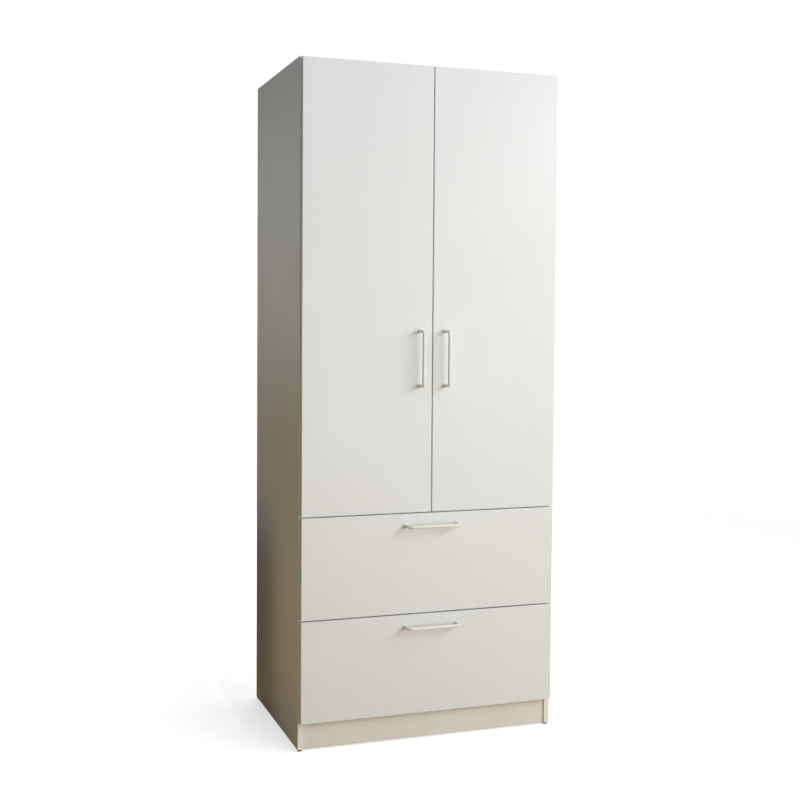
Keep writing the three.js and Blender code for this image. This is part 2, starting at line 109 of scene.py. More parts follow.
GLIDE_NAIL = 1.2 * MM
GLIDE_EASE = 0.4 * MM
# the glide's rounded foot: (in from its rim, up from the floor)
GLIDE_FOOT = ((1.6 * MM, 0), (0.6 * MM, 0.3 * MM), (0.1 * MM, 0.9 * MM), (0, 1.6 * MM))

# ---------------------------------------------------------------- heads, (radius, height)
SKIRT = 0.25 * MM                # how far heads and covers reach into what they sit on
PLATE_SCREW = (3.5 * MM, 2.0 * MM)
ARM_SCREW = (3.2 * MM, 0.7 * MM)
CUP_SCREW = (3.4 * MM, 1.5 * MM)
HANDLE_SCREW = (4.2 * MM, 1.9 * MM)
SLIDE_SCREW = (3.3 * MM, 1.5 * MM)
BRACKET_SCREW = (2.9 * MM, 1.3 * MM)
DRAWER_CAM = (7.4 * MM, 0.35 * MM)
CAM_COVER = (8.5 * MM, 0.4 * MM)
BUMPER = (3 * MM, 2.4 * MM)
NAIL = (2.2 * MM, 0.4 * MM)

# ---------------------------------------------------------------- looks
MARKS_REACH = 130 * MM           # handling marks round a handle
# painted light: the fronts are the same white melamine as the carcass, given a cooler tint for the cool
# light that falls on them
FRONT_WHITE = (0.85, 0.895, 0.92, 1.0)
CARCASS_WHITE = (0.84, 0.85, 0.82, 1.0)
BOX_WHITE = (0.83, 0.83, 0.79, 1.0)
IVORY = (0.92, 0.92, 0.885, 1.0)
BROWN = (0.045, 0.022, 0.014, 1.0)
WORLD_TONE = (1.0, 1.0, 0.93, 1.0)
WORLD_STRENGTH = 0.17
FLOOR_SEEN = (0.80, 0.80, 0.79, 1.0)
FLOOR_BOUNCE = (0.46, 0.27, 0.04, 1.0)
FLOOR_GLOW = 0.62
FLOOR_FADE = (1.4, 5.0)          # where the fade to white begins and ends, from the middle
FLOOR_REACH = 40.0

# ---------------------------------------------------------------- camera and flags
CAMERA_PLACE = (-1.28484, -3.63396, 1.24590)
CAMERA_YAW, CAMERA_PITCH, CAMERA_ROLL = 0.3373, 0.0403, 0.0068
CAMERA_LENS = 55.28              # for a sensor 36 mm wide
CAMERA_SHIFT = -0.0375
FLAG_GAP = 0.11                  # left side panel to the flags
FLAG_BOTTOM, FLAG_TOP = 0.02, 0.60
SHADING_FLAG = (0.05, 0.30)      # its front end, and how far it passes the side's rear edge
MIRRORED_FLAG = (0.70, 1.30)


# ---------------------------------------------------------------- node trees
class Shader:
    """One material's node tree, with short calls for what this scene needs."""

    def __init__(self, name, **surface):
        self.material = bpy.data.materials.new(name)
        self.material.use_nodes = True
        self.tree = self.material.node_tree
        self.surface = self.tree.nodes["Principled BSDF"]
        for socket, value in surface.items():
            self.put(self.surface, socket.replace("_", " "), value)
        self.coords = self.node("ShaderNodeTexCoord")

    def put(self, node, socket, value):
        if isinstance(value, bpy.types.NodeSocket):
            self.tree.links.new(value, node.inputs[socket])
        else:
            node.inputs[socket].default_value = value

    def node(self, kind, inputs=None, **settings):
        made = self.tree.nodes.new(kind)
        for name, value in settings.items():
            setattr(made, name, value)
        for socket, value in (inputs or {}).items():
            self.put(made, socket, value)
        return made

    def math(self, operation, a, b=0.0, clamp=False):
        made = self.node("ShaderNodeMath", {0: a, 1: b}, operation=operation, use_clamp=clamp)
        return made.outputs[0]

    def place(self, stretch=(1, 1, 1)):
        """Object coordinates, stretched along the axes."""
        point = self.coords.outputs["Object"]
        return self.node("ShaderNodeMapping", {"Vector": point, "Scale": stretch}).outputs[0]

    def noise(self, scale, detail=2.0, stretch=(1, 1, 1), roughness=0.5):
        inputs = {"Vector": self.place(stretch), "Scale": scale, "Detail": detail, "Roughness": roughness}
        return self.node("ShaderNodeTexNoise", inputs).outputs["Fac"]

    def span(self, value, low, high, to_low=0.0, to_high=1.0):
        """Maps low..high of a value to to_low..to_high, and holds it there."""
        inputs = {"Value": value, "From Min": low, "From Max": high, "To Min": to_low, "To Max": to_high}
        return self.node("ShaderNodeMapRange", inputs).outputs[0]

    def mix(self, share, a, b):
        made = self.node("ShaderNodeMix", data_type="RGBA")
        for socket, value in ((0, share), (6, a), (7, b)):
            self.put(made, socket, value)
        return made.outputs[2]

    def bump(self, height, strength, distance, under=None):
        inputs = {"Height": height, "Strength": strength, "Distance": distance}
        if under is not None:
            inputs["Normal"] = under
        return self.node("ShaderNodeBump", inputs).outputs[0]

    def along(self, vector, axis):
        return self.node("ShaderNodeSeparateXYZ", {0: vector}).outputs[axis]

    def edges(self, radius):
        """1 on corners and edges that are sharper than the radius, and 0 on the flat."""
        rounded = self.node("ShaderNodeBevel", {"Radius": radius}, samples=4).outputs[0]
        flat = self.node("ShaderNodeNewGeometry").outputs["Normal"]
        dot = self.node("ShaderNodeVectorMath", {0: rounded, 1: flat}, operation="DOT_PRODUCT")
        return self.span(dot.outputs["Value"], 0.995, 0.8)

    def near(self, point, reach):
        """1 at a point, falling to 0 at the reach."""
        inputs = {0: self.coords.outputs["Object"], 1: point}
        away = self.node("ShaderNodeVectorMath", inputs, operation="DISTANCE").outputs["Value"]
        return self.span(away, 0.2 * reach, reach, 1.0, 0.0)

    def finish(self, **sockets):
        for socket, value in sockets.items():
            self.put(self.surface, socket.replace("_", " "), value)
        return self.material


def rgb(red, green, blue):
    return (red, green, blue, 1.0)


def shade(color, factor):
    return tuple(channel * factor for channel in color[:3]) + (1.0,)


# ---------------------------------------------------------------- materials
def melamine(name, color, thin_axis, touched=None):
    """Melamine board: a fine pearl grain, faint marks round the touched place, and a smoother
    edge band on the faces that don't look along the board's thin axis. The band is painted whiter, partly
    its own tone and partly painted light on those edges."""
    s = Shader(name, IOR=1.5)
    facing = s.math("ABSOLUTE", s.along(s.coords.outputs["Normal"], thin_axis))
    band = s.span(facing, 0.3, 0.6, 1.0, 0.0)
    grain = s.noise(1400, 3)
    ripple = s.noise(45, 1)
    cloud = s.noise(3.2, 4)
    film = s.noise(14, 5, stretch=(1, 1, 0.35))
    level = s.along(s.coords.outputs["Object"], 2)
    dust = s.math("MULTIPLY", s.span(level, 0.0, 0.3, 1.0, 0.0), s.span(film, 0.35, 0.75))
    marks = s.near(touched, MARKS_REACH) if touched else 0.0
    marks = s.math("MULTIPLY", marks, s.span(s.noise(38, 4), 0.42, 0.7))
    wear = s.math("MULTIPLY", s.edges(1.6 * MM), s.span(s.noise(22, 4), 0.4, 0.75))

    tone = s.mix(s.span(cloud, 0.3, 0.7), shade(color, 0.975), shade(color, 1.0))
    # painted light: the edge faces are made whiter than the face, partly the band's own tone and partly
    # light painted onto them
    tone = s.mix(band, tone, shade(color, 1.12))
    tone = s.mix(s.math("MULTIPLY", dust, 0.10), tone, rgb(0.50, 0.44, 0.35))
    tone = s.mix(s.math("MULTIPLY", marks, 0.05), tone, rgb(0.52, 0.49, 0.43))
    tone = s.mix(s.math("MULTIPLY", wear, 0.14), tone, rgb(0.56, 0.52, 0.45))

    gloss = s.span(film, 0.3, 0.7, 0.34, 0.43)
    gloss = s.math("ADD", gloss, s.math("MULTIPLY", marks, 0.12))
    gloss = s.math("ADD", gloss, s.math("MULTIPLY", wear, 0.15))
    gloss = s.math("SUBTRACT", gloss, s.math("MULTIPLY", band, 0.05), clamp=True)
    height = s.math("MULTIPLY", grain, s.math("SUBTRACT", 1.0, s.math("MULTIPLY", band, 0.7)))
    normal = s.bump(height, 0.10, 0.12 * MM, s.bump(ripple, 0.05, 0.5 * MM))
    return s.finish(Base_Color=tone, Roughness=gloss, Normal=normal)


def hardboard(name, inside, outside):
    """Thin hardboard: lacquered towards the inside, raw pressed fibre on the outside (+Y)."""
    s = Shader(name, IOR=1.48)
    raw = s.span(s.along(s.coords.outputs["Normal"], 1), 0.2, 0.6)
    fibre = s.noise(420, 6, stretch=(1, 1, 0.6), roughness=0.7)
    blotch = s.noise(7, 5)
    fleck = s.span(s.noise(900, 2), 0.62, 0.72)
    brown = s.mix(s.span(blotch, 0.3, 0.7), shade(outside, 0.82), shade(outside, 1.12))
    brown = s.mix(s.math("MULTIPLY", s.span(fibre, 0.35, 0.65), 0.45), brown, shade(outside, 1.45))
    brown = s.mix(s.math("MULTIPLY", fleck, 0.5), brown, shade(outside, 0.45))
    white = s.mix(s.span(blotch, 0.3, 0.7), shade(inside, 0.97), inside)
    wear = s.math("MULTIPLY", s.edges(1.2 * MM), 0.4)
    tone = s.mix(wear, s.mix(raw, white, brown), shade(outside, 0.8))
    gloss = s.span(raw, 0.0, 1.0, 0.48, 0.82)
    screen = s.math("MULTIPLY", s.math("ADD", 0.25, raw), fibre)
    return s.finish(Base_Color=tone, Roughness=gloss, Normal=s.bump(screen, 0.35, 0.3 * MM))


def lacquered_metal(name, color):
    """Ivory powder-coated bar: a faint orange peel, rubbed a little smoother and greyer."""
    s = Shader(name, IOR=1.5, Coat_Weight=0.25, Coat_Roughness=0.12)
    peel = s.noise(520, 2)
    rub = s.span(s.noise(30, 4), 0.4, 0.7)
    tone = s.mix(rub, color, shade(color, 0.94))
    gloss = s.span(rub, 0.0, 1.0, 0.36, 0.27)
    return s.finish(Base_Color=tone, Roughness=gloss, Normal=s.bump(peel, 0.12, 0.15 * MM))


def plated_steel(name, color, low, high, brushed=(1, 1, 1)):
    """Plated steel with cloudy gloss, fine drawing lines and darker worn edges."""
    s = Shader(name, Metallic=1.0)
    lines = s.noise(700, 3, stretch=brushed)
    cloud = s.noise(26, 5)
    wear = s.math("MULTIPLY", s.edges(0.6 * MM), s.span(s.noise(160, 3), 0.4, 0.7))
    tone = s.mix(s.span(cloud, 0.3, 0.7), shade(color, 0.88), color)
    tone = s.mix(s.math("MULTIPLY", wear, 0.5), tone, shade(color, 0.55))
    gloss = s.math("ADD", s.span(cloud, 0.3, 0.7, low, high), s.math("MULTIPLY", wear, 0.1))
    return s.finish(Base_Color=tone, Roughness=gloss, Normal=s.bump(lines, 0.10, 0.08 * MM))


def moulded_plastic(name, color, gloss=0.45):
    """Moulded plastic: fine spark-eroded grain and a scuffed, paler edge."""
    s = Shader(name, IOR=1.48)
    grain = s.noise(1800, 2)
    scuff = s.math("MULTIPLY", s.edges(0.8 * MM), s.span(s.noise(220, 3), 0.4, 0.7))
    tone = s.mix(s.span(s.noise(40, 3), 0.3, 0.7), shade(color, 0.9), color)
    tone = s.mix(s.math("MULTIPLY", scuff, 0.3), tone, shade(color, 1.5))
    rough = s.span(s.noise(70, 3), 0.3, 0.7, gloss - 0.06, gloss + 0.08)
    return s.finish(Base_Color=tone, Roughness=rough, Normal=s.bump(grain, 0.2, 0.08 * MM))


def centre(node):
    low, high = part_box(node)
    return (low + high) / 2


def make_materials():
    bodies = ["door_left", "door_right", "drawer_upper", "drawer_lower"]
    fronts = {}
    for body in bodies:
        fronts[body] = melamine(f"front_{body}", FRONT_WHITE, 1, centre(f"{body}_handle"))
    return {
        **fronts,
        "side": melamine("carcass_side_board", CARCASS_WHITE, 0),
        "level": melamine("carcass_level_board", CARCASS_WHITE, 2),
        "upright": melamine("carcass_upright_board", CARCASS_WHITE, 1),
        "box_side": melamine("drawer_side_board", BOX_WHITE, 0),
        "box_back": melamine("drawer_back_board", BOX_WHITE, 1),
        "box_bottom": melamine("drawer_bottom_sheet", BOX_WHITE, 2),
        "back": hardboard("back_hardboard", rgb(0.80, 0.80, 0.75), rgb(0.33, 0.20, 0.11)),
        "ivory": lacquered_metal("handle_ivory_coat", IVORY),
        "zinc": plated_steel("zinc_plate", rgb(0.60, 0.61, 0.62), 0.28, 0.42, (1, 0.05, 1)),
        "chrome": plated_steel("chrome_plate", rgb(0.74, 0.75, 0.77), 0.08, 0.2, (0.04, 1, 1)),
        "glide": moulded_plastic("brown_plastic", BROWN),
        "white_plastic": moulded_plastic("white_plastic", rgb(0.78, 0.78, 0.74)),
    }


MATERIALS = make_materials()


# ---------------------------------------------------------------- CAD nodes
def dress(name, material, bevel):
    """Gives a CAD node its material, and rounds its edges a little."""
    node = NODES[name]
    for place in node.material_slots:
        place.material = material
    weld = node.modifiers.new("weld", "WELD")
    weld.merge_threshold = WELD_DISTANCE
    flat = node.modifiers.new("flat", "DECIMATE")
    flat.decimate_type = "DISSOLVE"
    flat.angle_limit = math.radians(FLAT_ANGLE)
    rounding = node.modifiers.new("rounding", "BEVEL")
    rounding.width = bevel
    rounding.segments = 3
    rounding.limit_method = "ANGLE"
    rounding.angle_limit = math.radians(ROUNDED_ANGLE)
    rounding.harden_normals = True
    return node


def dress_boards():
    for word in SIDES:
        dress(f"side_panel_{word}", MATERIALS["side"], BOARD_BEVEL)
        dress(f"door_{word}", MATERIALS[f"door_{word}"], BOARD_BEVEL)
    for name in ("top_panel", "hat_shelf", "divider_panel", "bottom_panel"):
        dress(name, MATERIALS["level"], BOARD_BEVEL)
    for name in ("plinth_front", "plinth_rear"):
        dress(name, MATERIALS["upright"], BOARD_BEVEL)
    for name in ("back_panel_upper", "back_panel_lower"):
        dress(name, MATERIALS["back"], METAL_BEVEL)


def dress_drawers():
    for word in DRAWERS:
        body = f"drawer_{word}"
        dress(f"{body}_front", MATERIALS[body], BOARD_BEVEL)
        dress(f"{body}_back", MATERIALS["box_back"], BOARD_BEVEL)
        dress(f"{body}_bottom", MATERIALS["box_bottom"], METAL_BEVEL)
        for hand in SIDES:
            dress(f"{body}_side_{hand}", MATERIALS["box_side"], BOARD_BEVEL)
            for member in (f"{body}_slide", f"cabinet_slide_{word}", f"middle_slide_{word}"):
                dress(f"{member}_{hand}", MATERIALS["zinc"], METAL_BEVEL)


def dress_fittings():
    for hand in SIDES:
        for place in HINGES:
            dress(f"hinge_arm_{hand}_{place}", MATERIALS["zinc"], METAL_BEVEL)
            dress(f"door_{hand}_hinge_cup_{place}", MATERIALS["zinc"], METAL_BEVEL / 2)


# ---------------------------------------------------------------- new pieces
def piece(name, mesh_data, body, material):
    """Makes an object of a bmesh in the row frame, and lets it ride on a body."""
    mesh = bpy.data.meshes.new(name)
    bmesh.ops.recalc_face_normals(mesh_data, faces=mesh_data.faces)
    mesh_data.to_mesh(mesh)
    mesh_data.free()
    mesh.materials.append(material)
    mesh.shade_smooth()
    mesh.set_sharp_from_angle(angle=math.radians(CREASE_ANGLE))
    made = bpy.data.objects.new(name, mesh)
    bpy.context.scene.collection.objects.link(made)
    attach(made, body)
    return made


def sweep(path, across, radius, sides):
    """A round bar along a plane path. `across` is square to that plane."""
    made = bmesh.new()
    rings = []
    for i, point in enumerate(path):
        ahead = path[min(i + 1, len(path) - 1)] - path[max(i - 1, 0)]
        out = ahead.cross(across).normalized()
        ring = []
        for k in range(sides):
            turn = 2 * math.pi * k / sides
            ring.append(made.verts.new(point + radius * (math.cos(turn) * out + math.sin(turn) * across)))
        rings.append(ring)
    for a, b in zip(rings, rings[1:]):
        for k in range(sides):
            made.faces.new((a[k], a[(k + 1) % sides], b[(k + 1) % sides], b[k]))
    made.faces.new(rings[0])
    made.faces.new(rings[-1])
    return made


def bow_path(foot, along, half, reach, bend):
    """Points of a bow that starts and ends on the front at y = foot.y, in the order of `along`."""
    out = Vector((0, -1, 0))
    points = [foot - half * along + share * (reach - bend) * out for share in (0, 0.3, 0.6, 1)]
    corner = foot - (half - bend) * along + (reach - bend) * out
    for i in range(1, BEND_STEPS + 1):
        turn = math.pi / 2 * i / BEND_STEPS
        points.append(corner + bend * (math.sin(turn) * out - math.cos(turn) * along))
    points.append(foot + reach * out)
    mirrored = [p - 2 * (p - foot).dot(along) * along for p in reversed(points[:-1])]
    return points + mirrored


def bow_handle(body):
    """The round bar of a handle, with finer bends than its CAD solid."""
    name = f"{body}_handle"
    low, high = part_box(name)
    size = high - low
    run = 2 if size.z > size.x else 0
    radius = min(size.x, size.z) / 2
    along = Vector([float(axis == run) for axis in range(3)])
    across = Vector((1, 0, 0)) if run == 2 else Vector((0, 0, 1))
    foot = Vector(((low.x + high.x) / 2, high.y, (low.z + high.z) / 2))
    foot.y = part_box(body if body.startswith("door") else f"{body}_front")[0].y
    reach = foot.y - low.y - radius
    path = bow_path(foot, along, size[run] / 2 - radius, reach, HANDLE_BEND)
    bar = sweep(path, across, radius, HANDLE_SIDES)
    made = piece(f"{body}_bow", bar, body, MATERIALS["ivory"])
    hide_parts(name)


def skin(mesh, rings, closed=False):
    """Joins rings of vertices, each a full round or one point, into a surface."""
    pairs = list(zip(rings, rings[1:]))
    if closed:
        pairs.append((rings[-1], rings[0]))
    for a, b in pairs:
        for k in range(max(len(a), len(b))):
            corners = [a[k % len(a)], a[(k + 1) % len(a)], b[(k + 1) % len(b)], b[k % len(b)]]
            corners = list(dict.fromkeys(corners))
            if len(corners) > 2:
                mesh.faces.new(corners)


def turned(mesh, profile, place, axis, sides=TURNED_SIDES, closed=False):
    """A turned shape: (radius, height) points revolved about the axis through the place."""
    tilt = Vector((0, 0, 1)).rotation_difference(Vector(axis)).to_matrix()
    rings = []
    for radius, height in profile:
        ring = []
        for k in range(sides if radius > 0 else 1):
            turn = 2 * math.pi * k / sides
            local = Vector((radius * math.cos(turn), radius * math.sin(turn), height))
            ring.append(mesh.verts.new(Vector(place) + tilt @ local))
        rings.append(ring)
    skin(mesh, rings, closed)


def smooth_step(value):
    value = min(max(value, 0.0), 1.0)
    return value * value * (3 - 2 * value)


def screw_head(mesh, place, axis, radius, height):
    """A pan head with a cross recess, standing along the axis on the surface at the place."""
    tilt = Vector((0, 0, 1)).rotation_difference(Vector(axis)).to_matrix()
    rings = [[mesh.verts.new(Vector(place) + tilt @ Vector((0, 0, -SKIRT)))]]
    shares = [1.0] + [1 - i / HEAD_RINGS for i in range(HEAD_RINGS)] + [0.0]
    for i, share in enumerate(shares):
        ring = []
        for k in range(HEAD_SIDES if share > 0 else 1):
            turn = 2 * math.pi * k / HEAD_SIDES
            x, y = share * math.cos(turn), share * math.sin(turn)
            narrow, wide = sorted((abs(x), abs(y)))
            cross = smooth_step((CROSS_WIDTH - narrow) / CROSS_SLOPES[0])
            cross *= smooth_step((CROSS_REACH - wide) / CROSS_SLOPES[1])
            dome = math.sqrt(1 - DOME * share**2)
            level = -SKIRT if i == 0 else height * (dome - CROSS_DEPTH * cross)
            ring.append(mesh.verts.new(Vector(place) + tilt @ Vector((radius * x, radius * y, level))))
        rings.append(ring)
    skin(mesh, rings)


def button(mesh, place, axis, radius, height):
    """A low round cover, nail head or pad with an eased rim."""
    ease = min(0.45 * height, 0.3 * radius)
    profile = [(0, -SKIRT), (radius, -SKIRT), (radius, height - ease)]
    profile += [(radius - 0.3 * ease, height - 0.3 * ease), (radius - ease, height), (0, height * 1.02)]
    turned(mesh, profile, place, axis, HEAD_SIDES)


def inner_wall(hand):
    """X of the inner face of a side panel."""
    low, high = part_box(f"side_panel_{hand}")
    return high.x if SIDES[hand] < 0 else low.x


def hinge_screws():
    """Screws of the hinge plates and arms on the carcass, and of the cups on the doors."""
    carcass = bmesh.new()
    for hand, side in SIDES.items():
        inner = inner_wall(hand)
        door = bmesh.new()
        for place in HINGES:
            low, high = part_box(f"hinge_arm_{hand}_{place}")
            level = (low.z + high.z) / 2
            inward = (-side, 0, 0)
            for turn in (-1, 1):
                spot = (inner - side * PLATE_SURFACE, high.y - PLATE_MIDDLE, level + turn * PLATE_SCREWS)
                screw_head(carcass, spot, inward, *PLATE_SCREW)
            tip = low.x if side > 0 else high.x
            for back in ARM_SCREWS:
                screw_head(carcass, (tip, high.y - back, level), inward, *ARM_SCREW)
            low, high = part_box(f"door_{hand}_hinge_cup_{place}")
            x = (low.x + high.x) / 2 - side * CUP_SCREW_OFFSET
            for turn in (-1, 1):
                screw_head(door, (x, high.y, level + turn * CUP_SCREWS), BACKWARDS, *CUP_SCREW)
        piece(f"hinge_cup_screws_{hand}", door, f"door_{hand}", MATERIALS["zinc"])
    piece("hinge_plate_screws", carcass, "carcass", MATERIALS["zinc"])


def handle_screws(body):
    """The two screws that hold a handle, on the inner face of its front."""
    front = body if body.startswith("door") else f"{body}_front"
    low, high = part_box(f"{body}_handle")
    middle, size = (low + high) / 2, high - low
    along = Vector((0, 0, 1)) if size.z > size.x else Vector((1, 0, 0))
    reach = (max(size.x, size.z) - min(size.x, size.z)) / 2
    heads = bmesh.new()
    for turn in (-1, 1):
        spot = middle + turn * reach * along
        spot.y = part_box(front)[1].y
        screw_head(heads, spot, BACKWARDS, *HANDLE_SCREW)
    piece(f"{body}_handle_screws", heads, body, MATERIALS["zinc"])


def slide_screws(word):
    """Screws through the drawer members into the drawer sides."""
    heads = bmesh.new()
    for hand, side in SIDES.items():
        low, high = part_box(f"drawer_{word}_slide_{hand}")
        x = inner_wall(hand) - side * SLIDE_CHANNEL
        places = [low.y + away for away in SLIDE_SCREWS_FRONT]
        places += [high.y - away for away in SLIDE_SCREWS_REAR]
        for y in places:
            screw_head(heads, (x, y, (low.z + high.z) / 2), (side, 0, 0), *SLIDE_SCREW)
    piece(f"slide_screws_{word}", heads, f"drawer_{word}", MATERIALS["zinc"])


def drawer_cams(word):
    """Cams in the drawer sides, which pull them to the drawer front."""
    heads = bmesh.new()
    for hand, side in SIDES.items():
        low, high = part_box(f"drawer_{word}_side_{hand}")
        inner = high.x if side < 0 else low.x
        for level in (low.z + DRAWER_CAM_RISE, high.z - DRAWER_CAM_DROP):
            screw_head(heads, (inner, low.y + CAM_SETBACK, level), (-side, 0, 0), *DRAWER_CAM)
    piece(f"drawer_cams_{word}", heads, f"drawer_{word}", MATERIALS["zinc"])


def cam_covers():
    """Plastic covers over the cams, under the boards that lie between the sides."""
    covers = bmesh.new()
    for board in ("top_panel", "hat_shelf", "divider_panel"):
        low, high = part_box(board)
        for x in (low.x + CAM_SETBACK, high.x - CAM_SETBACK):
            for y in (low.y + COVER_INSET, high.y - COVER_INSET):
                button(covers, (x, y, low.z), (0, 0, -1), *CAM_COVER)
    piece("cam_covers", covers, "carcass", MATERIALS["white_plastic"])


def door_bumpers(hand):
    """Pads at the free corners of a door, which meet the edges of the carcass."""
    low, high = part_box(f"door_{hand}")
    x = high.x - BUMPER_INSET if SIDES[hand] < 0 else low.x + BUMPER_INSET
    radius = BUMPER[0]
    pads = bmesh.new()
    for level in (low.z + 1.2 * radius, high.z - 1.6 * radius):
        button(pads, (x, high.y, level), BACKWARDS, *BUMPER)
    piece(f"door_bumpers_{hand}", pads, f"door_{hand}", MATERIALS["white_plastic"])


def evenly(start, end, spacing):
    """Places from start to end, no further apart than the spacing."""
    steps = math.ceil((end - start) / spacing)
    return [start + (end - start) * i / steps for i in range(steps + 1)]


def back_nails():
    """Nails round the edges of the two back sheets and along the boards behind them."""
    heads = bmesh.new()
    shelf, foot, top = (centre(name).z for name in ("hat_shelf", "bottom_panel", "top_panel"))
    for sheet, levels in (("back_panel_upper", (shelf, top)), ("back_panel_lower", (foot,))):
        low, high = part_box(sheet)
        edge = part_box("side_panel_right")[1].x - NAIL_INSET
        joint = low.z + NAIL_INSET / 2 if sheet == "back_panel_upper" else high.z - NAIL_INSET / 2
        ends = sorted((joint, levels[-1]))
        spots = [(x, z) for x in (-edge, edge) for z in evenly(*ends, NAIL_SPACING)]
        spots += [(x, z) for x in evenly(-edge, edge, NAIL_SPACING)[1:-1] for z in (joint, *levels)]
        for x, z in spots:
            button(heads, (x, high.y, z), BACKWARDS, *NAIL)
    piece("back_nails", heads, "carcass", MATERIALS["zinc"])


def rail():
    """The hanging rail as a drawn tube, and its brackets as turned parts with two screws."""
    low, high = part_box("hanging_rail")
    half = (high.x - low.x) / 2
    inside, ease = RAIL_RADIUS - RAIL_WALL, 0.2 * MM
    tube = bmesh.new()
    profile = [
        (RAIL_RADIUS - ease, -half),
        (RAIL_RADIUS, ease - half),
        (RAIL_RADIUS, half - ease),
        (RAIL_RADIUS - ease, half),
        (inside, half),
        (inside, -half),
    ]
    turned(tube, profile, (low + high) / 2, (1, 0, 0), closed=True)
    made = piece("rail_tube", tube, "carcass", MATERIALS["chrome"])
    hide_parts("hanging_rail")
    heads = bmesh.new()
    for hand, side in SIDES.items():
        bracket(hand, side)
        low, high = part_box(f"rail_bracket_{hand}")
        x = low.x + BRACKET_PLATE if side < 0 else high.x - BRACKET_PLATE
        for turn in (-1, 1):
            spot = (x, (low.y + high.y) / 2, (low.z + high.z) / 2 + turn * BRACKET_SCREWS)
            screw_head(heads, spot, (-side, 0, 0), *BRACKET_SCREW)
    piece("rail_bracket_screws", heads, "carcass", MATERIALS["chrome"])


def bracket(hand, side):
    """A rail bracket: a round plate on the side panel, with a collar that takes the rail."""
    low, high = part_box(f"rail_bracket_{hand}")
    radius = (high.z - low.z) / 2
    length = high.x - low.x
    inside = RAIL_RADIUS + RAIL_PLAY
    outside = inside + COLLAR_WALL
    rim, rim_middle = 1.2 * MM, 0.35 * MM
    fillet, lip, chamfer = 0.6 * MM, 0.5 * MM, 0.3 * MM
    profile = [
        (0, 0),
        (radius, 0),
        (radius, BRACKET_PLATE - rim),
        (radius - rim_middle, BRACKET_PLATE - rim_middle),
        (radius - rim, BRACKET_PLATE),
        (outside + fillet, BRACKET_PLATE),
        (outside, BRACKET_PLATE + fillet),
        (outside, length - lip),
        (outside - lip, length),
        (inside + chamfer, length),
        (inside, length - chamfer),
        (inside, BRACKET_PLATE),
        (0, BRACKET_PLATE),
    ]
    wall = low.x if side < 0 else high.x
    body = bmesh.new()
    turned(body, profile, (wall, (low.y + high.y) / 2, (low.z + high.z) / 2), (-side, 0, 0))
    made = piece(f"rail_socket_{hand}", body, "carcass", MATERIALS["chrome"])
    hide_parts(f"rail_bracket_{hand}")


def glide(name):
    """A plastic disc on a nail, with a rounded foot."""
    low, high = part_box(name)
    radius = (high.y - low.y) / 2
    profile = [(0, 0)]
    profile += [(radius - inset, up) for inset, up in GLIDE_FOOT]
    profile += [
        (radius, GLIDE_HEIGHT - GLIDE_EASE),
        (radius - GLIDE_EASE, GLIDE_HEIGHT),
        (GLIDE_NAIL, GLIDE_HEIGHT),
        (GLIDE_NAIL, high.z - 2 * GLIDE_NAIL),
        (0, high.z),
    ]
    body = bmesh.new()
    turned(body, profile, ((low.x + high.x) / 2, (low.y + high.y) / 2, low.z), (0, 0, 1))
    made = piece(name.replace("glide", "foot"), body, "carcass", MATERIALS["glide"])
    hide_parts(name)


# ---------------------------------------------------------------- stage
def camera():
    """The photograph's view: from the front left, at chest height, with a little lens shift."""
    yaw, pitch, roll = CAMERA_YAW, CAMERA_PITCH, CAMERA_ROLL
    forward = Vector((math.sin(yaw) * math.cos(pitch), math.cos(yaw) * math.cos(pitch), -math.sin(pitch)))
    level = Vector((math.cos(yaw), -math.sin(yaw), 0))
    upright = level.cross(forward)
    right = math.cos(roll) * level + math.sin(roll) * upright
    up = -math.sin(roll) * level + math.cos(roll) * upright
    data = bpy.data.cameras.new("camera")
    data.sensor_width = 36
    data.lens = CAMERA_LENS
    data.shift_y = CAMERA_SHIFT
    made = bpy.data.objects.new("camera", data)
    axes = Matrix((right, up, -forward)).transposed().to_4x4()
    made.matrix_world = Matrix.Translation(CAMERA_PLACE) @ axes
    bpy.context.scene.collection.objects.link(made)
    bpy.context.scene.camera = made


def softbox(name, place, target, size, power, color=(1, 1, 1), height=None):
    """A round light, or a level rectangle of that height."""
    data = bpy.data.lights.new(name, "AREA")
    data.shape = "RECTANGLE" if height else "DISK"
    data.size = size
    data.size_y = height or size
    data.energy = power
    data.color = color
    made = bpy.data.objects.new(name, data)
    made.location = place
    made.visible_camera = False
    made.rotation_euler = (Vector(target) - Vector(place)).to_track_quat("-Z", "Y").to_euler()
    bpy.context.scene.collection.objects.link(made)


def lights():
    middle = (0, -0.26, 1.1)
    softbox("window", (2.5, -2.7, 2.25), (0, -2.7, 1.7), 3.6, 54, (0.98, 0.985, 1.0), height=0.5)
    softbox("fill", (2.3, -4.4, 1.9), middle, 6.0, 150, (0.96, 0.98, 1.0))
    softbox("low_fill", (1.2, -4.0, 0.8), (0, -0.26, 0.5), 1.4, 14)
    softbox("left_sky", (-1.6, -0.7, 2.7), (-0.4, 0, 1.8), 1.2, 4.2, (0.30, 0.60, 0.90))
    softbox("left_rear", (-1.6, 2.2, 1.6), (-0.4, 0, 1.2), 1.6, 3.9)
    softbox("floor_glow", (-1.0, -0.9, 0.1), (-0.4, -0.2, 0.35), 0.6, 0.3, (1.0, 0.55, 0.10))
    softbox("rear_fill", (0.8, 4.4, 2.4), (0, 0.3, 1.0), 2.4, 60)
    softbox("overhead", (0.3, 0.6, 4.2), (0.3, 0.3, 0), 1.3, 30)


